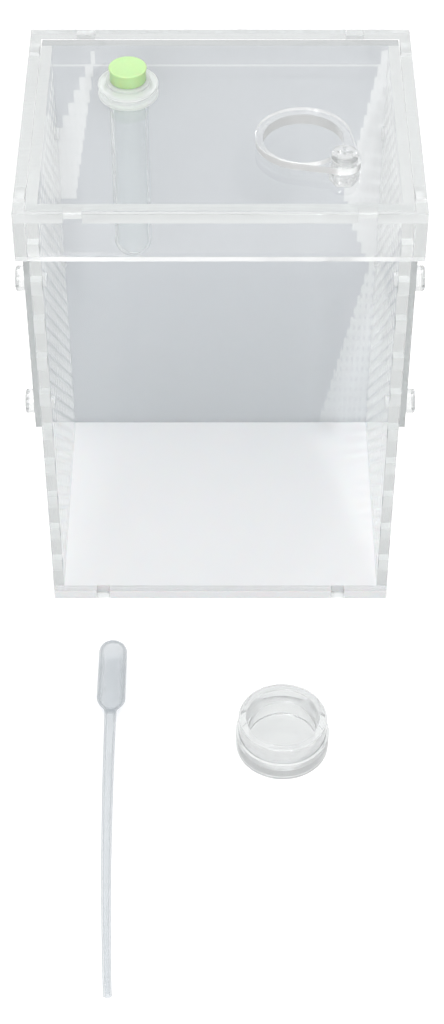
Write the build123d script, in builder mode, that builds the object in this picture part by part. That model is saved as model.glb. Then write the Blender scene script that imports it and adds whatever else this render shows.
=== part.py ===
from build123d import *
import os
from math import asin, cos, hypot, radians, sin

# Breeding terrarium of clear laser-cut acrylic sheet, in millimetres.
# The origin is the middle of the floor's underside, +Z is up and -Y is the front.
os.makedirs("parts", exist_ok=True)

# Acrylic sheet and the box
SHEET = 3.0
BODY_W = 102.0
BODY_D = 80.0
BODY_H = 147.0
JOINT_GAP = 0.05
INNER_D = BODY_D - 2 * SHEET
WALL_H = BODY_H - SHEET

# Finger joints of the upright edges, and the tabs that stand in the floor's slots
FINGER_H = 4.5
FINGER_PITCH = 13.5
FINGER_FIRST_Z = 14.5
FINGER_TOP_MARGIN = 8.0
FINGER_COUNT = int((BODY_H - FINGER_TOP_MARGIN - FINGER_FIRST_Z) / FINGER_PITCH) + 1
FINGER_ZS = [FINGER_FIRST_Z + FINGER_PITCH * step for step in range(FINGER_COUNT)]
TAB_W = 4.0
FRONT_TAB_INSET = 15.0
SIDE_TAB_INSET = 18.0
FRONT_TAB_X = BODY_W / 2 - FRONT_TAB_INSET
SIDE_TAB_Y = BODY_D / 2 - SIDE_TAB_INSET

# Lid: a plate with a skirt that drops over the walls
LID_CLEARANCE = 0.3
SKIRT_H = 12.6
LID_W = BODY_W + 2 * (LID_CLEARANCE + SHEET)
LID_D = BODY_D + 2 * (LID_CLEARANCE + SHEET)
LID_TOP_Z = BODY_H + SHEET
SKIRT_BOTTOM_Z = BODY_H - SKIRT_H
LID_TAB_W = 5.0
LID_TAB_INSET_X = 15.8
LID_TAB_INSET_Y = 9.3
LID_TAB_X = LID_W / 2 - LID_TAB_INSET_X
LID_TAB_Y = LID_D / 2 - LID_TAB_INSET_Y

# Ventilation holes of the side walls and of the sliding shutters
VENT_PITCH = 5.0
VENT_R = 1.5
VENT_EDGE_Y = 4.0
VENT_LOW_Z = 10.0
VENT_TOP_MARGIN = 6.0
VENT_COLUMNS = int((INNER_D - 2 * VENT_EDGE_Y) / VENT_PITCH) + 1
VENT_ROWS = int((BODY_H - VENT_TOP_MARGIN - VENT_LOW_Z) / VENT_PITCH) + 1
VENT_FIRST_Y = -VENT_PITCH * (VENT_COLUMNS - 1) / 2

# Shutters, their travel and the clear bolts that guide them
SLIDE_GAP = 0.1
SHUTTER_T = 2.0
SHUTTER_TRAVEL = VENT_PITCH / 2
SHUTTER_EDGE = 5.0
SHUTTER_LOW_ROW = VENT_ROWS // 2
SHUTTER_END = 7.0
SHUTTER_TOP_GAP = 1.9
SHUTTER_D = VENT_PITCH * (VENT_COLUMNS - 1) + 2 * (SHUTTER_EDGE - VENT_R)
SHUTTER_LOW_Z = VENT_LOW_Z + VENT_PITCH * SHUTTER_LOW_ROW - SHUTTER_END
SHUTTER_HIGH_Z = SKIRT_BOTTOM_Z - SHUTTER_TRAVEL - SHUTTER_TOP_GAP
BOLT_R = 2.0
BOLT_FIT = 0.05
SLOT_FIT = 0.3
BOLT_HEAD_R = 3.5
BOLT_HEAD_H = 2.5
BOLT_HEAD_ROUND = 0.6
BOLT_END = 0.8
BOLT_SLOT_W = 0.9
BOLT_SLOT_DEPTH = 1.0
BOLT_TOP_MARGIN = 9.0
BOLT_Y = -VENT_FIRST_Y
BOLT_LOW_Z = VENT_LOW_Z + VENT_PITCH * SHUTTER_LOW_ROW
BOLT_ROW_SPAN = int((SHUTTER_HIGH_Z - BOLT_TOP_MARGIN - BOLT_LOW_Z) / VENT_PITCH)
BOLT_HIGH_Z = BOLT_LOW_Z + VENT_PITCH * BOLT_ROW_SPAN
BOLT_PLACES = {
    "front_low": (-BOLT_Y, BOLT_LOW_Z),
    "front_high": (-BOLT_Y, BOLT_HIGH_Z),
    "back_low": (BOLT_Y, BOLT_LOW_Z),
    "back_high": (BOLT_Y, BOLT_HIGH_Z),
}

# Water feeder in the lid: collar, test tube and stopper
FEEDER_X = -25.6
FEEDER_Y = 15.0
TUBE_R = 5.5
TUBE_WALL = 1.0
TUBE_LENGTH = 59.5
TUBE_RIM_R = 6.3
TUBE_RIM_H = 0.8
COLLAR_NECK_R = 6.8
COLLAR_FLANGE_R = 8.4
COLLAR_FLANGE_H = 1.5
COLLAR_ROUND = 0.5
FIT_GAP = 0.05
STOPPER_R = 5.3
STOPPER_H = 4.0
STOPPER_PLUG_H = 6.0
STOPPER_ROUND = 0.4
STOPPER_FIT = 0.15

# Feeding port in the lid, its swivel cover, and the screw and nut that the cover turns on
PORT_X = 22.4
PORT_Y = -11.3
PORT_R = 11.0
PORT_LAP = 2.0
COVER_H = 2.0
COVER_EAR_R = 4.4
SCREW_X = 33.1
SCREW_Y = -22.3
SCREW_R = 2.0
SCREW_RUN_FIT = 0.08
SCREW_HEAD_R = 3.6
SCREW_HEAD_H = 2.4
CROSS_L = 4.4
CROSS_W = 0.9
CROSS_DEPTH = 1.0
NUT_FLATS = 7.0
NUT_H = 3.0

# Feeding dish that stands beside the box
DISH_X = 17.9
DISH_Y = -97.6
DISH_H = 12.0
DISH_FOOT_R = 13.4
DISH_RIM_R = 12.7
DISH_STEP_Z = 6.2
DISH_MOUTH_R = 10.3
DISH_FLOOR_R = 9.9
DISH_FLOOR_H = 1.6
DISH_ROUND = 0.5

# Dropper that lies beside the box, resting on its bulb and its tip
DROPPER_X = -32.0
DROPPER_BACK_Y = -63.0
DROPPER_L = 120.6
DROPPER_TURN = 1.05
BULB_R = 4.2
BULB_L = 24.6
BULB_SHOULDER = 3.6
BULB_END_R = 1.7
STEM_BACK_R = 1.75
STEM_MID_R = 1.5
STEM_MID_L = 70.0
TIP_R = 1.15
DROPPER_TILT = asin((BULB_R - TIP_R) / (DROPPER_L - BULB_L / 2))
DROPPER_LIFT = 0.05


def save(part, name):
    """Label a finished sub-part and write it as a STEP file."""
    part.label = name
    export_step(part, f"parts/{name}.step")


def far_from_bolts(y, z, keep_out):
    """Say whether a vent hole at (y, z) is at least keep_out from every bolt."""
    return all(hypot(y - bolt_y, z - bolt_z) > keep_out for bolt_y, bolt_z in BOLT_PLACES.values())


def vent_places(low_z, high_z, keep_out):
    """List the vent hole centres between two heights, leaving the bolts clear."""
    places = []
    for row in range(VENT_ROWS):
        z = VENT_LOW_Z + VENT_PITCH * row
        if low_z <= z <= high_z:
            for column in range(VENT_COLUMNS):
                y = VENT_FIRST_Y + VENT_PITCH * column
                if far_from_bolts(y, z, keep_out):
                    places.append((y, z))
    return places


# Floor sheet with a slot for each wall tab
with BuildPart() as floor_panel:
    with BuildSketch() as floor_outline:
        Rectangle(BODY_W, BODY_D)
        with GridLocations(2 * FRONT_TAB_X, BODY_D - SHEET, 2, 2):
            Rectangle(TAB_W + 2 * JOINT_GAP, SHEET, mode=Mode.SUBTRACT)
        with GridLocations(BODY_W - SHEET, 2 * SIDE_TAB_Y, 2, 2):
            Rectangle(SHEET, TAB_W + 2 * JOINT_GAP, mode=Mode.SUBTRACT)
    extrude(amount=SHEET)
save(floor_panel.part, "floor_panel")

# Front and back walls, notched at their upright edges for the side walls' fingers
for name, plane_offset in (("front_panel", BODY_D / 2 - SHEET), ("back_panel", -BODY_D / 2)):
    with BuildPart() as wall:
        with BuildSketch(Plane.XZ.offset(plane_offset)) as wall_outline:
            with Locations((0, SHEET + WALL_H / 2)):
                Rectangle(BODY_W, WALL_H)
            with Locations((-FRONT_TAB_X, SHEET / 2), (FRONT_TAB_X, SHEET / 2)):
                Rectangle(TAB_W, SHEET)
            for finger_z in FINGER_ZS:
                with Locations((-(BODY_W - SHEET) / 2, finger_z), ((BODY_W - SHEET) / 2, finger_z)):
                    Rectangle(SHEET, FINGER_H + 2 * JOINT_GAP, mode=Mode.SUBTRACT)
        extrude(amount=SHEET)
    save(wall.part, name)

# Side walls with fingers, floor tabs, vent holes and bolt holes
for side, plane_offset in (("left", -BODY_W / 2), ("right", BODY_W / 2 - SHEET)):
    with BuildPart() as side_wall:
        with BuildSketch(Plane.YZ.offset(plane_offset)) as side_outline:
            with Locations((0, SHEET + WALL_H / 2)):
                Rectangle(INNER_D, WALL_H)
            with Locations((-SIDE_TAB_Y, SHEET / 2), (SIDE_TAB_Y, SHEET / 2)):
                Rectangle(TAB_W, SHEET)
            for finger_z in FINGER_ZS:
                with Locations((-(BODY_D - SHEET) / 2, finger_z), ((BODY_D - SHEET) / 2, finger_z)):
                    Rectangle(SHEET, FINGER_H)
            with Locations(*vent_places(VENT_LOW_Z, BODY_H, VENT_PITCH / 2)):
                Circle(VENT_R, mode=Mode.SUBTRACT)
            with Locations(*BOLT_PLACES.values()):
                Circle(BOLT_R + BOLT_FIT, mode=Mode.SUBTRACT)
        extrude(amount=SHEET)
    save(side_wall.part, f"{side}_panel")

# Shutters that slide up on the side walls until they close the vent holes
SHUTTER_X = BODY_W / 2 + SLIDE_GAP
SHUTTER_KEEP_OUT = SHUTTER_TRAVEL + BOLT_R + SLOT_FIT + VENT_R
for side, plane_offset in (("left", -SHUTTER_X - SHUTTER_T), ("right", SHUTTER_X)):
    with BuildPart() as shutter:
        with BuildSketch(Plane.YZ.offset(plane_offset)) as shutter_outline:
            with Locations((0, (SHUTTER_LOW_Z + SHUTTER_HIGH_Z) / 2)):
                Rectangle(SHUTTER_D, SHUTTER_HIGH_Z - SHUTTER_LOW_Z)
            with Locations(*vent_places(BOLT_LOW_Z, SHUTTER_HIGH_Z - 2 * VENT_R, SHUTTER_KEEP_OUT)):
                Circle(VENT_R, mode=Mode.SUBTRACT)
            for bolt_y, bolt_z in BOLT_PLACES.values():
                with Locations((bolt_y, bolt_z - SHUTTER_TRAVEL / 2)):
                    SlotCenterToCenter(SHUTTER_TRAVEL, 2 * (BOLT_R + SLOT_FIT), rotation=90, mode=Mode.SUBTRACT)
        extrude(amount=SHUTTER_T)
    save(shutter.part, f"{side}_vent_shutter")

# Clear bolts that are screwed into the side walls and end just inside them
BOLT_HEAD_X = SHUTTER_X + SHUTTER_T + SLIDE_GAP
BOLT_SHANK_L = BOLT_HEAD_X - (BODY_W / 2 - SHEET) + BOLT_END
for side, outward in (("left", -1), ("right", 1)):
    for place, (bolt_y, bolt_z) in BOLT_PLACES.items():
        head_plane = Plane(
            origin=(outward * BOLT_HEAD_X, bolt_y, bolt_z), x_dir=(0, 1, 0), z_dir=(outward, 0, 0)
        )
        with BuildPart() as bolt:
            with BuildSketch(head_plane) as head_outline:
                Circle(BOLT_HEAD_R)
            extrude(amount=BOLT_HEAD_H)
            fillet(bolt.edges().sort_by(Axis.X)[-1 if outward > 0 else 0], radius=BOLT_HEAD_ROUND)
            with BuildSketch(head_plane.offset(BOLT_HEAD_H)) as driver_slot:
                Rectangle(2 * BOLT_HEAD_R, BOLT_SLOT_W)
            extrude(amount=-BOLT_SLOT_DEPTH, mode=Mode.SUBTRACT)
            with BuildSketch(head_plane) as shank_outline:
                Circle(BOLT_R)
            extrude(amount=-BOLT_SHANK_L)
        save(bolt.part, f"{side}_bolt_{place}")

# Lid plate, notched at its edges for the skirt's tabs
COLLAR_HOLE_R = COLLAR_NECK_R + FIT_GAP
with BuildPart() as lid_plate:
    with BuildSketch(Plane.XY.offset(BODY_H)) as lid_outline:
        Rectangle(LID_W, LID_D)
        with GridLocations(2 * LID_TAB_X, LID_D - SHEET, 2, 2):
            Rectangle(LID_TAB_W + 2 * JOINT_GAP, SHEET, mode=Mode.SUBTRACT)
        with GridLocations(LID_W - SHEET, 2 * LID_TAB_Y, 2, 2):
            Rectangle(SHEET, LID_TAB_W + 2 * JOINT_GAP, mode=Mode.SUBTRACT)
        with Locations((FEEDER_X, FEEDER_Y)):
            Circle(COLLAR_HOLE_R, mode=Mode.SUBTRACT)
        with Locations((PORT_X, PORT_Y)):
            Circle(PORT_R, mode=Mode.SUBTRACT)
        with Locations((SCREW_X, SCREW_Y)):
            Circle(SCREW_R + BOLT_FIT, mode=Mode.SUBTRACT)
    extrude(amount=SHEET)
save(lid_plate.part, "lid_plate")

# Front and back skirt strips run the whole width, and the side strips stand between them
for name, plane_offset in (("lid_front_skirt", LID_D / 2 - SHEET), ("lid_back_skirt", -LID_D / 2)):
    with BuildPart() as skirt:
        with BuildSketch(Plane.XZ.offset(plane_offset)) as skirt_outline:
            with Locations((0, BODY_H - SKIRT_H / 2)):
                Rectangle(LID_W, SKIRT_H)
            with Locations((-LID_TAB_X, BODY_H + SHEET / 2), (LID_TAB_X, BODY_H + SHEET / 2)):
                Rectangle(LID_TAB_W, SHEET)
        extrude(amount=SHEET)
    save(skirt.part, name)
for name, plane_offset in (("lid_left_skirt", -LID_W / 2), ("lid_right_skirt", LID_W / 2 - SHEET)):
    with BuildPart() as skirt:
        with BuildSketch(Plane.YZ.offset(plane_offset)) as skirt_outline:
            with Locations((0, BODY_H - SKIRT_H / 2)):
                Rectangle(LID_D - 2 * SHEET, SKIRT_H)
            with Locations((-LID_TAB_Y, BODY_H + SHEET / 2), (LID_TAB_Y, BODY_H + SHEET / 2)):
                Rectangle(LID_TAB_W, SHEET)
        extrude(amount=SHEET)
    save(skirt.part, name)

# Soft collar that grips the lid's hole with a flange above and one below
feeder_plane = Plane(origin=(FEEDER_X, FEEDER_Y, 0))
COLLAR_TOP_Z = LID_TOP_Z + COLLAR_FLANGE_H
COLLAR_LOW_Z = BODY_H - COLLAR_FLANGE_H
with BuildPart() as feeder_collar:
    with BuildSketch(feeder_plane.offset(COLLAR_LOW_Z)) as collar_low:
        Circle(COLLAR_FLANGE_R)
    extrude(amount=COLLAR_FLANGE_H)
    with BuildSketch(feeder_plane.offset(LID_TOP_Z)) as collar_high:
        Circle(COLLAR_FLANGE_R)
    extrude(amount=COLLAR_FLANGE_H)
    with BuildSketch(feeder_plane.offset(COLLAR_LOW_Z)) as collar_neck:
        Circle(COLLAR_NECK_R)
    extrude(amount=COLLAR_TOP_Z - COLLAR_LOW_Z)
    flange_edges = feeder_collar.edges().filter_by(GeomType.CIRCLE).sort_by(Axis.Z)
    fillet([flange_edges[0], flange_edges[-1]], radius=COLLAR_ROUND)
    with BuildSketch(feeder_plane.offset(COLLAR_LOW_Z)) as collar_bore:
        Circle(TUBE_R + FIT_GAP)
    extrude(amount=COLLAR_TOP_Z - COLLAR_LOW_Z, mode=Mode.SUBTRACT)
save(feeder_collar.part, "feeder_collar")

# Test tube with a rolled rim and a round closed end, hanging in the collar by its rim
TUBE_TOP_Z = COLLAR_TOP_Z + TUBE_RIM_H
TUBE_END_Z = TUBE_TOP_Z - TUBE_LENGTH + TUBE_R
TUBE_BORE_R = TUBE_R - TUBE_WALL
with BuildPart() as feeder_tube:
    with BuildSketch(feeder_plane.offset(TUBE_END_Z)) as tube_outline:
        Circle(TUBE_R)
    extrude(amount=TUBE_TOP_Z - TUBE_END_Z)
    with BuildSketch(feeder_plane.offset(COLLAR_TOP_Z)) as rim_outline:
        Circle(TUBE_RIM_R)
    extrude(amount=TUBE_RIM_H)
    with Locations((FEEDER_X, FEEDER_Y, TUBE_END_Z)):
        Sphere(TUBE_R)
        Sphere(TUBE_BORE_R, mode=Mode.SUBTRACT)
    with BuildSketch(feeder_plane.offset(TUBE_END_Z)) as bore_outline:
        Circle(TUBE_BORE_R)
    extrude(amount=TUBE_TOP_Z - TUBE_END_Z, mode=Mode.SUBTRACT)
save(feeder_tube.part, "feeder_tube")

# Stopper: a round head on the tube's rim with a plug inside the tube
with BuildPart() as feeder_stopper:
    with BuildSketch(feeder_plane.offset(TUBE_TOP_Z)) as stopper_head:
        Circle(STOPPER_R)
    extrude(amount=STOPPER_H)
    fillet(feeder_stopper.edges().group_by(Axis.Z)[-1], radius=STOPPER_ROUND)
    with BuildSketch(feeder_plane.offset(TUBE_TOP_Z)) as stopper_plug:
        Circle(TUBE_BORE_R - STOPPER_FIT)
    extrude(amount=-STOPPER_PLUG_H)
save(feeder_stopper.part, "feeder_stopper")

# Swivel cover of the feeding port: a disc with an ear on the screw
COVER_LOW_Z = LID_TOP_Z + SLIDE_GAP
COVER_TOP_Z = COVER_LOW_Z + COVER_H
with BuildPart() as port_cover:
    with BuildSketch(Plane.XY.offset(COVER_LOW_Z)) as cover_outline:
        with Locations((PORT_X, PORT_Y)):
            Circle(PORT_R + PORT_LAP)
        with Locations((SCREW_X, SCREW_Y)):
            Circle(COVER_EAR_R)
        make_hull()
        with Locations((SCREW_X, SCREW_Y)):
            Circle(SCREW_R + SCREW_RUN_FIT, mode=Mode.SUBTRACT)
    extrude(amount=COVER_H)
save(port_cover.part, "port_cover")

# Cross-slotted screw through the cover's ear, and its nut under the lid
screw_plane = Plane(origin=(SCREW_X, SCREW_Y, COVER_TOP_Z + SLIDE_GAP))
with BuildPart() as port_screw:
    with BuildSketch(screw_plane) as screw_head:
        Circle(SCREW_HEAD_R)
    extrude(amount=SCREW_HEAD_H)
    fillet(port_screw.edges().sort_by(Axis.Z)[-1], radius=BOLT_HEAD_ROUND)
    with BuildSketch(screw_plane.offset(SCREW_HEAD_H)) as cross:
        Rectangle(CROSS_L, CROSS_W)
        Rectangle(CROSS_W, CROSS_L)
    extrude(amount=-CROSS_DEPTH, mode=Mode.SUBTRACT)
    with BuildSketch(screw_plane) as screw_shank:
        Circle(SCREW_R)
    extrude(amount=-(screw_plane.origin.Z - BODY_H + NUT_H + BOLT_END))
save(port_screw.part, "port_screw")
with BuildPart() as port_nut:
    with BuildSketch(Plane(origin=(SCREW_X, SCREW_Y, BODY_H))) as port_nut_outline:
        RegularPolygon(NUT_FLATS / 2, 6, major_radius=False)
        Circle(SCREW_R + BOLT_FIT, mode=Mode.SUBTRACT)
    extrude(amount=-NUT_H)
save(port_nut.part, "port_nut")

# Feeding dish with a stepped outer wall
with BuildPart() as feeding_dish:
    with BuildSketch(Plane(origin=(DISH_X, DISH_Y, 0), x_dir=(1, 0, 0), z_dir=(0, -1, 0))) as dish_section:
        with BuildLine() as dish_line:
            Polyline(
                (0, 0),
                (DISH_FOOT_R, 0),
                (DISH_FOOT_R, DISH_STEP_Z),
                (DISH_RIM_R, DISH_STEP_Z),
                (DISH_RIM_R, DISH_H),
                (DISH_MOUTH_R, DISH_H),
                (DISH_FLOOR_R, DISH_FLOOR_H),
                (0, DISH_FLOOR_H),
                close=True,
            )
        make_face()
    revolve(axis=Axis((DISH_X, DISH_Y, 0), (0, 0, 1)))
    fillet(feeding_dish.edges().group_by(Axis.Z)[-1], radius=DISH_ROUND)
    fillet(feeding_dish.edges().group_by(Axis.Z)[0], radius=DISH_ROUND)
save(feeding_dish.part, "feeding_dish")

# Dropper blown in one piece: a bulb and a long stem that tapers to its tip
turn = radians(DROPPER_TURN)
dropper_axis = Vector(sin(turn) * cos(DROPPER_TILT), -cos(turn) * cos(DROPPER_TILT), -sin(DROPPER_TILT))
bulb_mid_z = BULB_R + DROPPER_LIFT
dropper_start = Vector(DROPPER_X, DROPPER_BACK_Y, bulb_mid_z + BULB_L / 2 * sin(DROPPER_TILT))
dropper_plane = Plane(
    origin=dropper_start, x_dir=dropper_axis, z_dir=Vector(0, 0, 1).cross(dropper_axis).cross(dropper_axis)
)
with BuildPart() as dropper:
    with BuildSketch(dropper_plane) as dropper_section:
        with BuildLine() as dropper_line:
            Line((0, 0), (0, BULB_END_R))
            Spline(
                (0, BULB_END_R),
                (BULB_SHOULDER, BULB_R),
                tangents=[(0, 1), (1, 0)],
            )
            Line((BULB_SHOULDER, BULB_R), (BULB_L - BULB_SHOULDER, BULB_R))
            Spline(
                (BULB_L - BULB_SHOULDER, BULB_R),
                (BULB_L, STEM_BACK_R),
                tangents=[(1, 0), (1, 0)],
            )
            Line((BULB_L, STEM_BACK_R), (STEM_MID_L, STEM_MID_R))
            Line((STEM_MID_L, STEM_MID_R), (DROPPER_L, TIP_R))
            Line((DROPPER_L, TIP_R), (DROPPER_L, 0))
            Line((DROPPER_L, 0), (0, 0))
        make_face()
    revolve(axis=Axis(dropper_start, dropper_axis))
save(dropper.part, "dropper")
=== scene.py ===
"""Breeding terrarium of clear acrylic: the finish of every piece, the light and the camera."""
import logging
import math
from dataclasses import dataclass
from enum import Enum

import bmesh
import bpy
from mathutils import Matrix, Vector


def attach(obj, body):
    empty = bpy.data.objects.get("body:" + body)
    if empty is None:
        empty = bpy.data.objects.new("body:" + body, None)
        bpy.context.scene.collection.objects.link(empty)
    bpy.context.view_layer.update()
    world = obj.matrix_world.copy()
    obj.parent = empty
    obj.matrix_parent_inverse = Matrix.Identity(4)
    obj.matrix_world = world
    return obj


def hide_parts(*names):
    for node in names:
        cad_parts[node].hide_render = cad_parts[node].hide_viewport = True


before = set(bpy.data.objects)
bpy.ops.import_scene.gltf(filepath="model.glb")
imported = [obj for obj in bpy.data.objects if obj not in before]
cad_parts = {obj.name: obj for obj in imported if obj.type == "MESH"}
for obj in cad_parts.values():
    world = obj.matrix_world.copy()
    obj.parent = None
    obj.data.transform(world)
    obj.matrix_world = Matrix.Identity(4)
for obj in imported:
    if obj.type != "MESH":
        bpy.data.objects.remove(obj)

log = logging.getLogger("terrarium")
Point = tuple[float, float]
Place = tuple[float, float, float]
Colour = tuple[float, float, float, float]
Tree = bpy.types.NodeTree
Node = bpy.types.Node
Socket = bpy.types.NodeSocket

MM = 0.001
WHITE: Colour = (1.0, 1.0, 1.0, 1.0)
ACRYLIC_IOR = 1.49
SIDES = ("left", "right")
BOLT_PLACES = ("front_low", "front_high", "back_low", "back_high")
# A mix node has numbered inputs: the share, two values and two colours; its colour leaves at output 2
SHARE, VALUE_A, VALUE_B, COLOUR_A, COLOUR_B = 0, 2, 3, 6, 7
COLOUR_OUT = 2


class SheetAxis(Enum):
    """The axis that a sheet's thickness lies along."""

    X = "X"
    Y = "Y"
    Z = "Z"


def linear(code: str) -> Colour:
    """Turn an sRGB hex colour into a linear one.

    Args:
        code: The colour as "#RRGGBB".

    Returns:
        Red, green, blue and an alpha of 1, linear.
    """
    channels = (int(code[start:start + 2], 16) / 255 for start in (1, 3, 5))
    red, green, blue = (
        channel / 12.92 if channel <= 0.04045 else ((channel + 0.055) / 1.055) ** 2.4
        for channel in channels
    )
    return red, green, blue, 1.0


def add_node(tree: Tree, kind: str, inputs: dict | None = None, **settings: object) -> Node:
    """Add a node, set its options and fill or link its inputs.

    Args:
        tree: The node tree that gets the node.
        kind: The node's type name.
        inputs: Input name or number to a value, or to the output socket that feeds it.
        settings: The node's own options.

    Returns:
        The new node.
    """
    node = tree.nodes.new(kind)
    for name, value in settings.items():
        setattr(node, name, value)
    for name, value in (inputs or {}).items():
        if isinstance(value, Socket):
            tree.links.new(value, node.inputs[name])
        else:
            node.inputs[name].default_value = value
    return node


def blank_material(name: str) -> tuple[bpy.types.Material, Tree]:
    """Make a material with an empty node tree.

    Args:
        name: The material's name.

    Returns:
        The material and its node tree.
    """
    material = bpy.data.materials.new(name)
    material.use_nodes = True
    material.node_tree.nodes.clear()
    return material, material.node_tree


def let_lamps_through(tree: Tree, shader: Node, tint: Colour, skim_gain: float = 1.0) -> None:
    """Finish a see-through material so that light from lamps and soft light pass it.

    Args:
        tree: The material's node tree.
        shader: The surface that the eye sees.
        tint: The linear colour that light takes on when it passes.
        skim_gain: How much brighter light leaves that skims along the sheet, which guides it onward.
    """
    # How slanting the sheet has to be met for the gain to start, and for all of it
    skim_start, skim_full = 0.6, 0.8
    path = add_node(tree, "ShaderNodeLightPath")
    soft = add_node(
        tree, "ShaderNodeMath",
        {0: path.outputs["Is Shadow Ray"], 1: path.outputs["Is Diffuse Ray"]}, operation="MAXIMUM",
    )
    clear = add_node(tree, "ShaderNodeBsdfTransparent", {"Color": tint})
    if skim_gain > 1.0:
        skim = add_node(tree, "ShaderNodeLayerWeight", {"Blend": 0.5})
        gain = add_node(
            tree, "ShaderNodeMapRange",
            {"Value": skim.outputs["Facing"], "From Min": skim_start, "From Max": skim_full,
             "To Min": 1.0, "To Max": skim_gain},
        )
        bright = add_node(
            tree, "ShaderNodeVectorMath", {0: tint[:3], "Scale": gain.outputs[0]}, operation="SCALE"
        )
        tree.links.new(bright.outputs[0], clear.inputs["Color"])
    mix = add_node(
        tree, "ShaderNodeMixShader", {0: soft.outputs[0], 1: shader.outputs[0], 2: clear.outputs[0]}
    )
    add_node(tree, "ShaderNodeOutputMaterial", {"Surface": mix.outputs[0]})


@dataclass(frozen=True)
class LightPatch:
    """A pale patch on the back wall, painted where light falls in steps past the side walls' vents.

    It lies between two heights. Its left and right side each lean from one x at the low end to
    another at the high end. Sizes are in millimetres in the object's frame.
    """

    low: float
    high: float
    left_low: float
    left_high: float
    right_low: float
    right_high: float
    # The height of one step, and the pitch of the dim ticks along it
    step: float = 4.4
    tick: float = 1.7
    # Half a tick's width as a share of its pitch, and how much light it takes away
    tick_half: float = 0.2
    tick_depth: float = 0.15

    def mask(self, tree: Tree, spot: Node) -> Socket:
        """Build the patch's mask.

        Args:
            tree: The material's node tree.
            spot: The node that gives the place's x, y and z in metres.

        Returns:
            A socket that is 0 outside the patch, 1 inside it and a little less on its ticks.
        """
        across, height = spot.outputs["X"], spot.outputs["Z"]
        near = []
        for place, pitch in ((height, self.step), (across, self.tick)):
            wave = add_node(tree, "ShaderNodeMath", {0: place, 1: pitch * MM / 2}, operation="PINGPONG")
            limits = {0: wave.outputs[0], 1: pitch * MM * self.tick_half}
            near.append(add_node(tree, "ShaderNodeMath", limits, operation="LESS_THAN").outputs[0])
        tick = add_node(tree, "ShaderNodeMath", {0: near[0], 1: near[1]}, operation="MULTIPLY")
        mask = add_node(
            tree, "ShaderNodeMapRange",
            {"Value": tick.outputs[0], "To Min": 1.0, "To Max": 1 - self.tick_depth},
        ).outputs[0]
        # The sides are worked out from the height of the step, which makes the stairs
        row = add_node(tree, "ShaderNodeMath", {0: height, 1: self.step * MM}, operation="SNAP")
        left, right = (
            add_node(
                tree, "ShaderNodeMapRange",
                {"Value": row.outputs[0], "From Min": self.low * MM, "From Max": self.high * MM,
                 "To Min": at_low * MM, "To Max": at_high * MM},
            ).outputs[0]
            for at_low, at_high in ((self.left_low, self.left_high), (self.right_low, self.right_high))
        )
        bounds = ((across, left), (right, across), (height, self.low * MM), (self.high * MM, height))
        for more, less in bounds:
            inside = add_node(tree, "ShaderNodeMath", {0: more, 1: less}, operation="GREATER_THAN")
            mask = add_node(
                tree, "ShaderNodeMath", {0: mask, 1: inside.outputs[0]}, operation="MULTIPLY"
            ).outputs[0]
        return mask


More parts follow.
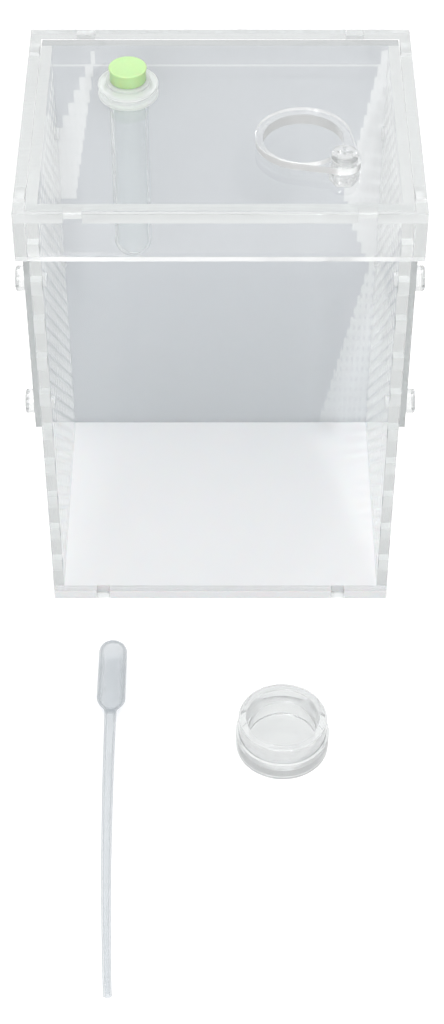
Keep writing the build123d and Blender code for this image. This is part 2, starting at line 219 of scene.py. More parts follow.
@dataclass(frozen=True)
class AcrylicSheet:
    """Cast acrylic sheet, laser cut: polished clear faces and cut edges with fine upright ribs."""

    name: str
    axis: SheetAxis
    # Colours: the faces, their foot where painted shade darkens it, the cut edges, and light that has
    # passed
    face_hex: str = "#FDFDFD"
    foot_shade_hex: str = ""
    edge_hex: str = "#DCDEDE"
    shade_hex: str = "#FEFEFE"
    fade_mm: float = 90.0
    # Polish and clearness of the faces and of the cut edges
    face_rough: float = 0.004
    face_clear: float = 0.97
    edge_rough: float = 0.12
    edge_clear: float = 0.65
    # The cut's ribs are drawn a little coarser than real ones, so that they show
    rib_mm: float = 0.35
    rib_height_mm: float = 0.05
    rib_strength: float = 0.05
    # The film of handling has about this many uneven spots to a metre, so one is some 22 mm across
    film_per_metre: float = 45.0
    # A face looks along the sheet's axis by more than this, and a cut edge by less
    face_turn: float = 0.7
    ior: float = ACRYLIC_IOR
    skim_gain: float = 1.0
    # How strongly the cut edges glow with painted light
    edge_painted_glow: float = 0.0
    # Light painted on the face that looks to the front, whose direction has a y below this
    front_turn: float = -0.5
    patch_hex: str = "#EAECED"
    patch_low_hex: str = "#D4D7D9"
    patches: tuple[LightPatch, ...] = ()

    def material(self) -> bpy.types.Material:
        """Build the material: the cut edges are told from the faces by their direction.

        Returns:
            The new material.
        """
        material, tree = blank_material(self.name)
        place = add_node(tree, "ShaderNodeTexCoord")
        direction = add_node(tree, "ShaderNodeSeparateXYZ", {0: place.outputs["Normal"]})
        facing = add_node(
            tree, "ShaderNodeMath", {0: direction.outputs[self.axis.value]}, operation="ABSOLUTE"
        )
        edge = add_node(
            tree, "ShaderNodeMath", {0: facing.outputs[0], 1: self.face_turn}, operation="LESS_THAN"
        ).outputs[0]
        # The cut's ribs run straight through the sheet, so they don't change along its thickness
        along = [0.0 if self.axis is axis else 1.0 for axis in SheetAxis]
        flat = add_node(
            tree, "ShaderNodeVectorMath", {0: place.outputs["Object"], 1: along}, operation="MULTIPLY"
        )
        ribs = add_node(
            tree, "ShaderNodeTexNoise",
            {"Vector": flat.outputs[0], "Scale": 1 / (self.rib_mm * MM), "Detail": 2.0, "Roughness": 0.6},
        ).outputs["Fac"]
        height = add_node(tree, "ShaderNodeMath", {0: ribs, 1: edge}, operation="MULTIPLY")
        bump = add_node(
            tree, "ShaderNodeBump",
            {"Height": height.outputs[0], "Strength": self.rib_strength,
             "Distance": self.rib_height_mm * MM},
        )
        clear = add_node(
            tree, "ShaderNodeMix", {SHARE: edge, VALUE_A: self.face_clear, VALUE_B: self.edge_clear}
        )
        # Painted glow on the cut edges, standing in for light caught between the faces that leaves there
        glow = add_node(tree, "ShaderNodeMath", {0: edge, 1: self.edge_painted_glow}, operation="MULTIPLY")
        colour = add_node(
            tree, "ShaderNodeMix",
            {SHARE: edge, COLOUR_A: self.face_colour(tree, place, direction),
             COLOUR_B: linear(self.edge_hex)},
            data_type="RGBA",
        )
        shader = add_node(
            tree, "ShaderNodeBsdfPrincipled",
            {"Base Color": colour.outputs[COLOUR_OUT], "Roughness": self.roughness(tree, place, ribs, edge),
             "Transmission Weight": clear.outputs[0], "Normal": bump.outputs[0], "IOR": self.ior,
             "Emission Color": linear(self.edge_hex), "Emission Strength": glow.outputs[0]},
        )
        let_lamps_through(tree, shader, linear(self.shade_hex), self.skim_gain)
        return material

    def roughness(self, tree: Tree, place: Node, ribs: Socket, edge: Socket) -> Socket:
        """Make the faces' faint film of handling and the uneven cut of the edges.

        Args:
            tree: The material's node tree.
            place: The node that gives coordinates.
            ribs: The cut's rib pattern.
            edge: 1 on the cut edges and 0 on the faces.

        Returns:
            The roughness.
        """
        film = add_node(
            tree, "ShaderNodeTexNoise",
            {"Vector": place.outputs["Object"], "Scale": self.film_per_metre, "Detail": 5.0},
        )
        face_rough = add_node(
            tree, "ShaderNodeMapRange",
            {"Value": film.outputs["Fac"], "From Min": 0.35, "From Max": 0.75,
             "To Min": self.face_rough * 0.5, "To Max": self.face_rough * 2},
        )
        edge_rough = add_node(
            tree, "ShaderNodeMapRange",
            {"Value": ribs, "To Min": self.edge_rough * 0.7, "To Max": self.edge_rough * 1.3},
        )
        return add_node(
            tree, "ShaderNodeMix",
            {SHARE: edge, VALUE_A: face_rough.outputs[0], VALUE_B: edge_rough.outputs[0]},
        ).outputs[0]

    def face_colour(self, tree: Tree, place: Node, direction: Node) -> Socket:
        """Make the faces' colour, with the light that is painted on the one that looks to the front.

        Args:
            tree: The material's node tree.
            place: The node that gives coordinates.
            direction: The node that gives the surface's direction as x, y and z.

        Returns:
            The colour.
        """
        spot = add_node(tree, "ShaderNodeSeparateXYZ", {0: place.outputs["Object"]})
        # Painted shade: less light reaches a wall's foot, so a tinted sheet's faces are coloured darker
        # there
        painted_lift = add_node(
            tree, "ShaderNodeMapRange",
            {"Value": spot.outputs["Z"], "From Min": 0.0, "From Max": self.fade_mm * MM},
            interpolation_type="SMOOTHSTEP",
        ).outputs[0]
        face = add_node(
            tree, "ShaderNodeMix",
            {SHARE: painted_lift, COLOUR_A: linear(self.foot_shade_hex or self.face_hex), COLOUR_B: linear(self.face_hex)},
            data_type="RGBA",
        ).outputs[COLOUR_OUT]
        if not self.patches:
            return face
        pale = add_node(
            tree, "ShaderNodeMix",
            {SHARE: painted_lift, COLOUR_A: linear(self.patch_low_hex), COLOUR_B: linear(self.patch_hex)},
            data_type="RGBA",
        ).outputs[COLOUR_OUT]
        front = add_node(
            tree, "ShaderNodeMath", {0: direction.outputs["Y"], 1: self.front_turn}, operation="LESS_THAN"
        )
        for patch in self.patches:
            lit = add_node(
                tree, "ShaderNodeMath", {0: patch.mask(tree, spot), 1: front.outputs[0]},
                operation="MULTIPLY",
            )
            face = add_node(
                tree, "ShaderNodeMix", {SHARE: lit.outputs[0], COLOUR_A: face, COLOUR_B: pale},
                data_type="RGBA",
            ).outputs[COLOUR_OUT]
        return face


@dataclass(frozen=True)
class ClearMoulding:
    """Injection-moulded clear plastic: smooth, with a faint flow pattern and a soft haze."""

    name: str
    # Colours: seen straight on, seen along the wall, and light that has passed
    colour_hex: str
    rim_hex: str
    shade_hex: str
    rough: float
    clear: float
    ior: float
    # The waves that the melt leaves: their pitch, height and strength
    flow_mm: float
    flow_height_mm: float = 0.1
    flow_strength: float = 0.03
    # How much a milky wall hides where it is seen straight on
    cover: float = 1.0

    def material(self) -> bpy.types.Material:
        """Build the material: the melt's flow shows as slow waves and uneven polish.

        Returns:
            The new material.
        """
        material, tree = blank_material(self.name)
        place = add_node(tree, "ShaderNodeTexCoord")
        flow = add_node(
            tree, "ShaderNodeTexNoise",
            {"Vector": place.outputs["Object"], "Scale": 1 / (self.flow_mm * MM), "Detail": 3.0,
             "Distortion": 0.6},
        )
        rough = add_node(
            tree, "ShaderNodeMapRange",
            {"Value": flow.outputs["Fac"], "From Min": 0.3, "From Max": 0.7,
             "To Min": self.rough * 0.85, "To Max": self.rough * 1.2},
        )
        # At a round wall's outline the eye looks through more plastic, so it reads deeper there
        slant = add_node(tree, "ShaderNodeLayerWeight", {"Blend": 0.5})
        depth = add_node(
            tree, "ShaderNodeMapRange",
            {"Value": slant.outputs["Facing"], "From Min": 0.35, "From Max": 0.95},
            interpolation_type="SMOOTHSTEP",
        )
        colour = add_node(
            tree, "ShaderNodeMix",
            {SHARE: depth.outputs[0], COLOUR_A: linear(self.colour_hex), COLOUR_B: linear(self.rim_hex)},
            data_type="RGBA",
        )
        # A milky wall hides more where the eye looks along it
        cover = add_node(
            tree, "ShaderNodeMapRange", {"Value": depth.outputs[0], "To Min": self.cover, "To Max": 1.0}
        )
        bump = add_node(
            tree, "ShaderNodeBump",
            {"Height": flow.outputs["Fac"], "Strength": self.flow_strength,
             "Distance": self.flow_height_mm * MM},
        )
        shader = add_node(
            tree, "ShaderNodeBsdfPrincipled",
            {"Base Color": colour.outputs[COLOUR_OUT], "Roughness": rough.outputs[0],
             "Transmission Weight": self.clear, "Normal": bump.outputs[0], "IOR": self.ior,
             "Alpha": cover.outputs[0]},
        )
        let_lamps_through(tree, shader, linear(self.shade_hex))
        return material


@dataclass(frozen=True)
class OpaqueMoulding:
    """Coloured plastic or sheet that shows nothing behind it, with fine grain and a soft gloss."""

    name: str
    # Colours of the grain's hollows and tops
    colour_hex: str
    shade_hex: str
    rough: float
    grain_mm: float
    grain_depth_mm: float
    grain_strength: float = 0.4
    # How much light spreads inside, how far, and how strongly the piece glows with painted light
    spread: float = 0.0
    spread_mm: float = 2.0
    painted_lift: float = 0.0
    ior: float = ACRYLIC_IOR

    def material(self) -> bpy.types.Material:
        """Build the material: grain in bump and colour, some light carried inside it, and a painted glow.

        Returns:
            The new material.
        """
        material, tree = blank_material(self.name)
        place = add_node(tree, "ShaderNodeTexCoord")
        grain = add_node(
            tree, "ShaderNodeTexNoise",
            {"Vector": place.outputs["Object"], "Scale": 1 / (self.grain_mm * MM), "Detail": 4.0},
        ).outputs["Fac"]
        colour = add_node(
            tree, "ShaderNodeMix",
            {SHARE: grain, COLOUR_A: linear(self.colour_hex), COLOUR_B: linear(self.shade_hex)},
            data_type="RGBA",
        )
        rough = add_node(
            tree, "ShaderNodeMapRange",
            {"Value": grain, "To Min": self.rough * 0.8, "To Max": self.rough * 1.2},
        )
        bump = add_node(
            tree, "ShaderNodeBump",
            {"Height": grain, "Strength": self.grain_strength, "Distance": self.grain_depth_mm * MM},
        )
        shader = add_node(
            tree, "ShaderNodeBsdfPrincipled",
            {"Base Color": colour.outputs[COLOUR_OUT], "Roughness": rough.outputs[0],
             "Normal": bump.outputs[0], "IOR": self.ior, "Subsurface Weight": self.spread,
             "Subsurface Scale": self.spread_mm * MM, "Emission Color": linear(self.colour_hex),
             "Emission Strength": self.painted_lift},
        )
        add_node(tree, "ShaderNodeOutputMaterial", {"Surface": shader.outputs[0]})
        return material


# Clear cast acrylic: faces that hardly show, and cut edges that read as pale bands. Where the
# refractive index is set below the real one, it keeps mirror images and dark outlines as weak as
# in the photograph
WALL_FRONT = AcrylicSheet(
    "cast_acrylic_laser_cut_front", SheetAxis.Y, edge_hex="#E2E5E5", edge_clear=0.5, ior=1.12,
)
SIDE_SKIRT = AcrylicSheet(
    "cast_acrylic_laser_cut_side_skirt", SheetAxis.X, edge_clear=0.55, ior=1.4, edge_painted_glow=0.06,
)
FRONT_SKIRT = AcrylicSheet(
    "cast_acrylic_laser_cut_skirt", SheetAxis.Y, edge_clear=0.55, ior=1.4, edge_painted_glow=0.06,
)
LID_SHEET = AcrylicSheet(
    "cast_acrylic_laser_cut_lid", SheetAxis.Z, edge_hex="#E8EAEA", edge_clear=0.5, edge_painted_glow=0.05,
)
COVER_SHEET = AcrylicSheet(
    "cast_acrylic_laser_cut_cover", SheetAxis.Z, edge_hex="#FAFBFB", edge_clear=0.5, edge_painted_glow=0.05,
)
SHUTTER_SHEET = AcrylicSheet(
    "cast_acrylic_laser_cut_shutter", SheetAxis.X, edge_hex="#D0D3D3", face_clear=0.93, ior=1.35,
)
# The side walls are full of cut holes, so they read milky, and light skims on along them
WALL_SIDE = AcrylicSheet(
    "cast_acrylic_laser_cut_side", SheetAxis.X, face_hex="#E8EBEB", face_clear=0.7, edge_clear=0.5,
    edge_painted_glow=0.04, skim_gain=1.4, ior=1.25,
)
# Painted shade: the back wall's faces are a cool grey, darker than the rest and darker still at the foot,
# standing in for the shaded surroundings seen through the clear sheet
WALL_BACK = AcrylicSheet(
    "acrylic_laser_cut_back_painted_shade", SheetAxis.Y, face_hex="#CDD1D5", foot_shade_hex="#C4C8CB",
    shade_hex="#E8EBED", face_clear=0.45,
    patches=(
        # Painted light at the right, from the top down: wider, narrower again at mid height, then wider to
        # the foot
        LightPatch(low=92, high=145.5, left_low=37.3, left_high=47, right_low=51, right_high=51),
        LightPatch(low=67, high=92, left_low=46.1, left_high=37.3, right_low=51, right_high=51),
        LightPatch(
            low=3, high=67, left_low=32.8, left_high=46.1, right_low=51, right_high=51, tick_depth=0.6,
        ),
        # Painted light at the left: wide at mid height, and narrower up to a point at the wall's top
        LightPatch(
            low=93, high=145.5, left_low=-57, left_high=-35.2, right_low=-43.5, right_high=-35.2,
        ),
        # A thin painted bright line below the wall's top
        LightPatch(
            low=140.1, high=140.7, left_low=-48, left_high=-48, right_low=48, right_high=48,
            tick_depth=0.0,
        ),
    ),
)
# Opal acrylic: white all through with a polished skin, and a faint painted glow
OPAL_SHEET = OpaqueMoulding(
    "opal_acrylic_sheet", "#DEDFE0", "#DADBDD", rough=0.16, grain_mm=9.0, grain_depth_mm=0.01,
    spread=0.15, painted_lift=0.05,
)
# Polycarbonate: clear and faintly hazy, so the small screws sparkle but hide what is behind them
BOLT_PLASTIC = ClearMoulding(
    "polycarbonate_moulded_bolts", "#F0F1F1", "#D6D8D8", "#EDEFEF",
    rough=0.08, clear=0.75, ior=1.58, flow_mm=3.0,
)
# Soft silicone: lets light through but no picture
COLLAR_RUBBER = ClearMoulding(
    "silicone_frosted_collar", "#E9ECEB", "#F4F6F5", "#F4F6F5",
    rough=0.35, clear=0.0, ior=1.4, flow_mm=2.0, flow_strength=0.0, cover=0.5,
)
# Polystyrene: hard and glassy. The tube's refractive index is lowered for the same reason as the sheets'
TUBE_PLASTIC = ClearMoulding(
    "polystyrene_moulded_tube", "#F8FAFA", "#F4F6F6", "#FBFCFC",
    rough=0.03, clear=0.97, ior=1.25, flow_mm=6.0,
)
DISH_PLASTIC = ClearMoulding(
    "polystyrene_moulded_dish", "#E8EAEA", "#C6C9CA", "#F4F4F4",
    rough=0.05, clear=0.76, ior=1.52, flow_mm=5.0,
)
# Soft polyethylene: matt, milky and a little blue where it is thick
DROPPER_PLASTIC = ClearMoulding(
    "polyethylene_blown_dropper", "#CCD1D4", "#BAC0C4", "#EDEFF1",
    rough=0.14, clear=0.0, ior=1.45, flow_mm=8.0, flow_strength=0.0, cover=0.2,
)
# Dyed soft polyethylene: a fine matt grain, and colour that glows a little from inside
STOPPER_PLASTIC = OpaqueMoulding(
    "polyethylene_green_stopper", "#C4E6A8", "#BDE0A2", rough=0.42, grain_mm=0.5, grain_depth_mm=0.02,
    spread=0.3,
)


def arc(centre: Point, radius: float, start: float, end: float, steps: int = 6) -> list[Point]:
    """Points along part of a circle in a profile.

    Args:
        centre: The circle's centre as (radius, height) in millimetres.
        radius: The circle's radius in millimetres.
        start: The first angle in degrees, 0 pointing outwards and 90 up.
        end: The last angle in degrees.
        steps: How many stretches the arc has.

    Returns:
        The points as (radius, height) in millimetres.
    """
    angles = [math.radians(start + (end - start) * step / steps) for step in range(steps + 1)]
    return [(centre[0] + radius * math.cos(a), centre[1] + radius * math.sin(a)) for a in angles]


def finish_mesh(name: str, mesh: bmesh.types.BMesh, sharp_degrees: float = 40.0) -> bpy.types.Object:
    """Turn a bmesh into a smooth-shaded object that keeps its real edges.

    Args:
        name: The object's name.
        mesh: The bmesh, which is freed.
        sharp_degrees: Edges that turn more than this stay sharp.

    Returns:
        The new object, linked to the scene.
    """
    bmesh.ops.recalc_face_normals(mesh, faces=mesh.faces)
    for face in mesh.faces:
        face.smooth = True
    for edge in mesh.edges:
        edge.smooth = edge.calc_face_angle(0.0) < math.radians(sharp_degrees)
    data = bpy.data.meshes.new(name)
    mesh.to_mesh(data)
    mesh.free()
    made = bpy.data.objects.new(name, data)
    bpy.context.scene.collection.objects.link(made)
    return made


def lathe(name: str, profile: list[Point], centre: Point, segments: int = 96) -> bpy.types.Object:
    """Turn a closed profile about an upright axis.

    Args:
        name: The object's name.
        profile: The points as (radius, height) in millimetres. At radius 0 the shape closes.
        centre: The axis's x and y in millimetres.
        segments: How many steps one turn has.

    Returns:
        The new object.
    """
    on_axis = 1e-6
    mesh = bmesh.new()
    rings = []
    for radius, height in profile:
        if radius < on_axis:
            rings.append([mesh.verts.new((centre[0] * MM, centre[1] * MM, height * MM))])
            continue
        ring = []
        for step in range(segments):
            turn = 2 * math.pi * step / segments
            x = centre[0] + radius * math.cos(turn)
            y = centre[1] + radius * math.sin(turn)
            ring.append(mesh.verts.new((x * MM, y * MM, height * MM)))
        rings.append(ring)
    for index, low in enumerate(rings):
        high = rings[(index + 1) % len(rings)]
        if len(low) == 1 and len(high) == 1:
            continue
        for step in range(segments):
            after = (step + 1) % segments
            corners = (
                low[step % len(low)], low[after % len(low)],
                high[after % len(high)], high[step % len(high)],
            )
            # Where a ring is one point, two corners are the same and the face is a triangle
            mesh.faces.new(list(dict.fromkeys(corners)))
    return finish_mesh(name, mesh)


def dress(
    made: bpy.types.Object, material: bpy.types.Material, body: str, slot: str, *nodes: str
) -> None:
    """Give a new piece its material and its body, and hide the nodes that it stands for.

    Args:
        made: The new piece.
        material: Its material.
        body: The body that it moves with.
        slot: The record's material slot; not used.
        nodes: The nodes that it stands for.
    """
    made.data.materials.append(material)
    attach(made, body)
    if nodes:
        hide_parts(*nodes)
    log.info("built %s", made.name)


def dress_node(name: str, material: bpy.types.Material, bevel_mm: float = 0.0) -> None:
    """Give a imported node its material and, where it shows, a fine broken edge.

    Args:
        name: The node's name.
        material: Its material.
        bevel_mm: The width of the broken edge, or 0 for none.
    """
    least_turn = 50.0
    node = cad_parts[name]
    if not node.material_slots:
        node.data.materials.append(material)
    for slot in node.material_slots:
        slot.material = material
    if bevel_mm:
        bevel = node.modifiers.new("broken_edge", "BEVEL")
        bevel.width = bevel_mm * MM
        bevel.segments = 2
        bevel.limit_method = "ANGLE"
        bevel.angle_limit = math.radians(least_turn)
    log.info("dressed %s", name)


@dataclass
class Assembly:
    """What the box and the lid share: the widths of their fine broken edges, in millimetres."""

    fastener_edge: float = 0.12
    sheet_edge: float = 0.18


@dataclass
class Box(Assembly):
    """The box: floor sheet, four walls, the two shutters and their bolts."""

    def dress(self) -> None:
        """Dress the floor, the walls, the shutters and the bolts."""
        dress_node("floor_panel", OPAL_SHEET.material(), self.sheet_edge)
        dress_node("front_panel", WALL_FRONT.material(), self.sheet_edge)
        dress_node("back_panel", WALL_BACK.material(), self.sheet_edge)
        side, shutter = WALL_SIDE.material(), SHUTTER_SHEET.material()
        bolt = BOLT_PLASTIC.material()
        for name in SIDES:
            dress_node(f"{name}_panel", side)
            dress_node(f"{name}_vent_shutter", shutter)
            for place in BOLT_PLACES:
                dress_node(f"{name}_bolt_{place}", bolt, self.fastener_edge)


@dataclass
class Lid(Assembly):
    """The lid: plate and skirt, feeding port with its cover, and water feeder, in millimetres."""

    feeder: Point = (-25.6, 15.0)
    plate_low: float = 147.0
    plate_top: float = 150.0
    # The collar: two flanges about a neck, and a rim with a lip over the tube's mouth
    flange_r: float = 8.4
    flange_h: float = 1.5
    neck_r: float = 6.8
    rim_r: float = 6.3
    rim_h: float = 0.8
    rim_round: float = 0.25
    lip_r: float = 4.55
    lip_h: float = 0.35
    # The tube, its clearance in the collar, and the gap where one piece seats on another
    tube_r: float = 5.5
    tube_wall: float = 1.0
    tube_length: float = 59.5
    fit: float = 0.05
    seat_gap: float = 0.04
    # The stopper's head: a narrower neck, a lip with rounded edges and a shallow dish on top
    stopper_r: float = 5.3
    stopper_neck_r: float = 5.05
    stopper_h: float = 4.0
    stopper_lip_h: float = 0.75
    stopper_lip_round: float = 0.25
    stopper_top_round: float = 0.35
    stopper_rim: float = 0.9
    stopper_dish: float = 0.12
    # The stopper's plug, with sealing ribs at these heights above its rounded end
    plug_h: float = 6.0
    plug_gap: float = 0.15
    plug_round: float = 0.6
    plug_ribs: tuple[float, ...] = (1.6, 3.4)
    rib_depth: float = 0.4
    rib_half_h: float = 0.5

    def dress(self) -> None:
        """Dress the plate, the skirt and the port, and build the feeder."""
        dress_node("lid_plate", LID_SHEET.material(), self.sheet_edge)
        front, side, bolt = FRONT_SKIRT.material(), SIDE_SKIRT.material(), BOLT_PLASTIC.material()
        for name, skirt in (("front", front), ("back", front), ("left", side), ("right", side)):
            dress_node(f"lid_{name}_skirt", skirt, self.sheet_edge)
        dress_node("port_cover", COVER_SHEET.material(), self.sheet_edge)
        dress_node("port_screw", bolt, self.fastener_edge)
        dress_node("port_nut", bolt, self.fastener_edge)
        self.build_collar()
        self.build_tube()
        self.build_stopper()

    @property
    def bore(self) -> float:
        """The radius of the collar's bore."""
        return self.tube_r + self.fit

    @property
    def rim_top(self) -> float:
        """The height of the collar's top, where the stopper sits."""
        return self.plate_top + self.flange_h + self.rim_h

    def build_collar(self) -> None:
        """Build the soft collar: two rounded flanges and the frosted rim that the stopper sits on."""
        low, high = self.plate_low, self.plate_top
        round_r = self.flange_h / 2
        round_x = self.flange_r - round_r
        lip = self.rim_top - self.lip_h
        profile = [(self.bore, low - self.flange_h), (round_x, low - self.flange_h)]
        profile += arc((round_x, low - round_r), round_r, -90, 90)
        profile += [(self.neck_r, low), (self.neck_r, high)]
        profile += arc((round_x, high + round_r), round_r, -90, 90)
        profile += [(self.rim_r, high + self.flange_h)]
        small = self.rim_round
        profile += arc((self.rim_r - small, self.rim_top - small), small, 0, 90, 4)
        profile += [(self.lip_r, self.rim_top), (self.lip_r, lip), (self.bore, lip)]
        dress(
            lathe("soft_collar", profile, self.feeder), COLLAR_RUBBER.material(),
            "lid", "frosted_collar", "feeder_collar",
        )

    def build_tube(self) -> None:
        """Build the test tube: a thin wall, a round closed end and a mouth under the collar's lip."""
        top = self.rim_top - self.lip_h - self.seat_gap
        end = self.rim_top - self.tube_length + self.tube_r
        inner_r = self.tube_r - self.tube_wall
        profile = arc((0, end), self.tube_r, -90, 0, 20)
        profile += [(self.tube_r, top), (inner_r, top)]
        profile += arc((0, end), inner_r, 0, -90, 20)
        dress(
            lathe("test_tube", profile, self.feeder), TUBE_PLASTIC.material(),
            "lid", "clear_tube", "feeder_tube",
        )

    def build_stopper(self) -> None:
        """Build the stopper: a lipped head with a shallow dished top and a plug with sealing ribs."""
        low = self.rim_top + self.seat_gap
        top = low + self.stopper_h - self.seat_gap
        lip = top - self.stopper_lip_h
        plug = self.tube_r - self.tube_wall - self.plug_gap
        core = plug - self.rib_depth
        above_end = low - self.plug_h + self.plug_round
        profile = [(0, low - self.plug_h)]
        profile += arc((core - self.plug_round, above_end), self.plug_round, -90, 0, 4)
        for rib in self.plug_ribs:
            middle = above_end + rib
            profile += [(core, middle - self.rib_half_h), (plug, middle), (core, middle + self.rib_half_h)]
        profile += [(core, low), (self.stopper_neck_r, low), (self.stopper_neck_r, lip)]
        small, large = self.stopper_lip_round, self.stopper_top_round
        profile += arc((self.stopper_r - small, lip + small), small, -90, 0, 3)
        profile += arc((self.stopper_r - large, top - large), large, 0, 90, 5)
        dished = top - self.stopper_dish
        profile += [(self.stopper_r - self.stopper_rim, dished), (0, dished)]
        dress(
            lathe("green_stopper", profile, self.feeder), STOPPER_PLASTIC.material(),
            "stopper", "green_stopper", "feeder_stopper",
        )


@dataclass
class Dish:
    """The feeding dish: a low jar with a stepped wall outside and a ledge inside, in millimetres."""

    centre: Point = (17.9, -97.6)
    height: float = 12.0
    foot_r: float = 13.4
    # Under the foot, a ring to stand on about a shallow hollow
    stand: float = 2.0
    stand_slope: float = 0.2
    hollow: float = 0.25
    # Outside, the foot's step up to the narrower wall
    rim_r: float = 12.7
    step: float = 6.2
    step_round: float = 0.3
    step_slope: float = 0.15
    # Inside, from the mouth over the ledge to the floor
    mouth_r: float = 10.3
    mouth_round: float = 0.4
    ledge: float = 7.0
    ledge_in: float = 0.5
    ledge_slope: float = 0.3
    ledge_round: float = 0.25
    floor_h: float = 1.6
    edge_round: float = 0.6

    def build(self) -> None:
        """Build and dress the dish."""
        large, inner_r = self.edge_round, self.mouth_r - self.ledge_in
        stand_r = self.foot_r - self.stand
        profile = [(0, self.hollow), (stand_r - self.stand_slope, self.hollow), (stand_r, 0.0)]
        profile += arc((self.foot_r - large, large), large, -90, 0)
        small = self.step_round
        profile += arc((self.foot_r - small, self.step - small), small, 0, 90, 3)
        profile += [(self.rim_r, self.step + self.step_slope)]
        profile += arc((self.rim_r - large, self.height - large), large, 0, 90)
        small = self.mouth_round
        profile += arc((self.mouth_r + small, self.height - small), small, 90, 180, 4)
        profile += [(self.mouth_r, self.ledge + self.ledge_slope)]
        small = self.ledge_round
        profile += arc((inner_r + small, self.ledge - small), small, 90, 180, 3)
        profile += arc((inner_r - large, self.floor_h + large), large, 0, -90, 4)
        profile += [(0, self.floor_h)]
        dress(
            lathe("round_dish", profile, self.centre), DISH_PLASTIC.material(),
            "dish", "clear_dish", "feeding_dish",
        )


@dataclass
class Dropper:
    """The dropper: one blown piece with a bulb, a long thin stem and a gentle bend, in millimetres."""

    back: Point = (-32.0, -63.0)
    length: float = 120.55
    wall: float = 0.45
    narrowest: float = 0.25
    bulb_l: float = 24.6
    bulb_r: float = 4.2
    # The bulb's shoulders, how far the front one runs into the stem, and how full the back one is
    shoulder: float = 3.6
    neck: float = 1.5
    fullness: float = 2.4
    blunt_end: float = 0.02
    stem_r: float = 1.75
    tip_r: float = 1.15
    # The middle line: the bulb's gap to the floor, the tip's height and how the stem bends aside
    floor_gap: float = 0.1
    tip_z: float = 1.3
    tip_side: float = 2.4
    bend: float = 2.3
    rings: int = 150
    segments: int = 40
    sharp_degrees: float = 60.0

    def radius(self, along: float) -> float:
        """Work out the outer radius.

        Args:
            along: The distance from the bulb's back end in millimetres.

        Returns:
            The radius in millimetres.
        """
        if along < self.shoulder:
            share = 1 - along / self.shoulder
            return self.bulb_r * math.sqrt(max(self.blunt_end, 1 - share ** self.fullness))
        if along < self.bulb_l - self.shoulder:
            return self.bulb_r
        if along < self.bulb_l + self.neck:
            share = (along - self.bulb_l + self.shoulder) / (self.shoulder + self.neck)
            return self.stem_r + (self.bulb_r - self.stem_r) * (1 + math.cos(math.pi * share)) / 2
        share = (along - self.bulb_l) / (self.length - self.bulb_l)
        return self.stem_r + (self.tip_r - self.stem_r) * share

    def centre(self, along: float) -> Vector:
        """Work out where the middle line is.

        Args:
            along: The distance from the bulb's back end in millimetres.

        Returns:
            The place in millimetres.
        """
        share = max(0.0, (along - self.bulb_l) / (self.length - self.bulb_l))
        bulb_z = self.bulb_r + self.floor_gap
        x = self.back[0] + self.tip_side * share ** self.bend
        return Vector((x, self.back[1] - along, bulb_z - (bulb_z - self.tip_z) * share))

    def build(self) -> None:
        """Build and dress the dropper, hollow with an open tip."""
        mesh = bmesh.new()
        stations = [self.length * step / self.rings for step in range(self.rings + 1)]
        layers = []
        for inset in (0.0, self.wall):
            rings = []
            for along in stations:
                # The hollow starts one wall's thickness in from the back
                place = max(along, inset)
                radius = max(self.narrowest, self.radius(place) - inset)
                middle = self.centre(place)
                ring = []
                for step in range(self.segments):
                    turn = 2 * math.pi * step / self.segments
                    point = middle + Vector((math.cos(turn) * radius, 0, math.sin(turn) * radius))
                    ring.append(mesh.verts.new(point * MM))
                rings.append(ring)
            layers.append(rings)
        outer, inner = layers
        bands = [pair for rings in layers for pair in zip(rings, rings[1:])]
        bands.append((outer[-1], inner[-1]))
        for low, high in bands:
            for step in range(self.segments):
                after = (step + 1) % self.segments
                mesh.faces.new((low[step], low[after], high[after], high[step]))
        for rings in layers:
            mesh.faces.new(rings[0])
        made = finish_mesh("bulb_dropper", mesh, self.sharp_degrees)
        dress(made, DROPPER_PLASTIC.material(), "dropper", "milky_dropper", "dropper")


@dataclass(frozen=True)
class Lamp:
    """A square soft lamp: its place and size in metres, its power in watts."""

    name: str
    place: Place
    size: float
    power: float


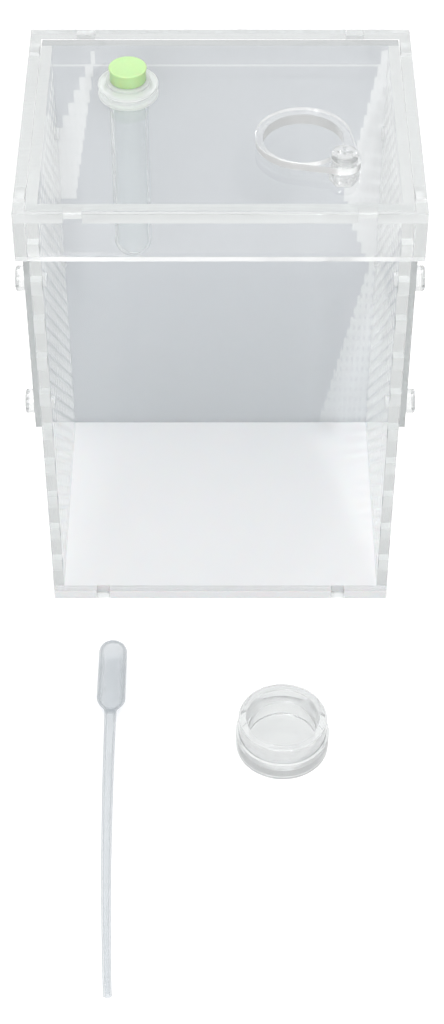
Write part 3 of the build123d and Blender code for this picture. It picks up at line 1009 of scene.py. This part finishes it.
@dataclass
class Studio:
    """The plain floor, the soft light and the camera, in metres."""

    # The camera, as fitted to the photograph
    eye: Place = (0.0005, -0.5091, 0.5059)
    pitch: float = 44.965
    focal_px: float = 2236.8
    frame_h_px: int = 1024
    sensor_mm: float = 36.0
    nearest: float = 0.01
    # The paper, which lies just under the set and is lifted to white where it is seen
    floor_half: float = 12.0
    floor_drop: float = 0.0002
    floor_grey: float = 0.8
    floor_glow: float = 0.30
    # The surroundings' light, and its share at eye level, which grows to all of it higher up
    world_strength: float = 0.72
    level_share: float = 0.62
    full_height: float = 0.7
    # The lamps, and the place that all of them look at
    aim: Place = (0.0, -0.03, 0.06)
    lamps: tuple[Lamp, ...] = (
        Lamp("small_key", (0.27, -0.83, 0.91), 0.06, 2.8),
        Lamp("front_softbox", (-0.35, -1.0, 0.8), 0.5, 3.0),
        Lamp("top_panel", (-0.15, 0.1, 1.2), 0.9, 4.6),
        Lamp("back_strip", (0.35, 0.85, 0.8), 0.12, 0.8),
    )

    def build(self) -> None:
        """Build the studio in order."""
        self.build_world()
        self.build_floor()
        self.build_lamps()
        self.build_camera()

    def build_world(self) -> None:
        """Pale surroundings, a little darker at eye level, and plain white where they are seen."""
        world = bpy.data.worlds.new("studio")
        bpy.context.scene.world = world
        world.use_nodes = True
        tree = world.node_tree
        tree.nodes.clear()
        place = add_node(tree, "ShaderNodeTexCoord")
        height = add_node(tree, "ShaderNodeSeparateXYZ", {0: place.outputs["Generated"]})
        level = add_node(
            tree, "ShaderNodeMapRange",
            {"Value": height.outputs["Z"], "From Min": 0.0, "From Max": self.full_height,
             "To Min": self.level_share, "To Max": 1.0},
        )
        strength = add_node(
            tree, "ShaderNodeMath", {0: level.outputs[0], 1: self.world_strength}, operation="MULTIPLY"
        )
        light = add_node(
            tree, "ShaderNodeBackground", {"Color": WHITE, "Strength": strength.outputs[0]}
        )
        white = add_node(tree, "ShaderNodeBackground", {"Color": WHITE, "Strength": 1.0})
        path = add_node(tree, "ShaderNodeLightPath")
        seen = add_node(
            tree, "ShaderNodeMath",
            {0: path.outputs["Is Camera Ray"], 1: path.outputs["Is Transmission Ray"]},
            operation="MAXIMUM",
        )
        mix = add_node(
            tree, "ShaderNodeMixShader", {0: seen.outputs[0], 1: light.outputs[0], 2: white.outputs[0]}
        )
        add_node(tree, "ShaderNodeOutputWorld", {"Surface": mix.outputs[0]})

    def build_floor(self) -> None:
        """A sheet of white paper under the set that keeps the shadows."""
        mesh = bmesh.new()
        bmesh.ops.create_grid(mesh, x_segments=2, y_segments=2, size=self.floor_half)
        bmesh.ops.translate(mesh, verts=mesh.verts, vec=(0, 0, -self.floor_drop))
        paper = finish_mesh("studio_floor", mesh)
        material, tree = blank_material("white_studio_paper")
        path = add_node(tree, "ShaderNodeLightPath")
        seen = path.outputs["Is Camera Ray"]
        for ray in ("Is Glossy Ray", "Is Transmission Ray"):
            seen = add_node(
                tree, "ShaderNodeMath", {0: seen, 1: path.outputs[ray]}, operation="MAXIMUM"
            ).outputs[0]
        glow = add_node(tree, "ShaderNodeMath", {0: seen, 1: self.floor_glow}, operation="MULTIPLY")
        grey = self.floor_grey
        shader = add_node(
            tree, "ShaderNodeBsdfPrincipled",
            {"Base Color": (grey, grey, grey, 1.0), "Roughness": 0.9, "Specular IOR Level": 0.1,
             "Emission Color": WHITE, "Emission Strength": glow.outputs[0]},
        )
        add_node(tree, "ShaderNodeOutputMaterial", {"Surface": shader.outputs[0]})
        paper.data.materials.append(material)

    def build_lamps(self) -> None:
        """A soft key from the front right, wide soft panels, and a small lamp behind for the glints."""
        for lamp in self.lamps:
            data = bpy.data.lights.new(lamp.name, "AREA")
            data.size = lamp.size
            data.energy = lamp.power
            made = bpy.data.objects.new(lamp.name, data)
            made.location = lamp.place
            towards = Vector(self.aim) - Vector(lamp.place)
            made.rotation_euler = towards.to_track_quat("-Z", "Y").to_euler()
            bpy.context.scene.collection.objects.link(made)

    def build_camera(self) -> None:
        """The camera stands in front, looks down and sees the set as the photograph does."""
        data = bpy.data.cameras.new("camera")
        data.sensor_fit = "VERTICAL"
        data.sensor_height = self.sensor_mm
        data.lens = self.sensor_mm * self.focal_px / self.frame_h_px
        data.clip_start = self.nearest
        camera = bpy.data.objects.new("camera", data)
        camera.location = self.eye
        camera.rotation_euler = (math.radians(90 - self.pitch), 0, 0)
        bpy.context.scene.collection.objects.link(camera)
        bpy.context.scene.camera = camera


def main() -> None:
    """Build everything in order."""
    logging.basicConfig(level=logging.INFO, format="%(name)s: %(message)s")
    bpy.context.scene.view_settings.view_transform = "Standard"
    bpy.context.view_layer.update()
    Box().dress()
    Lid().dress()
    Dish().build()
    Dropper().build()
    Studio().build()


if __name__ == "__main__":
    main()
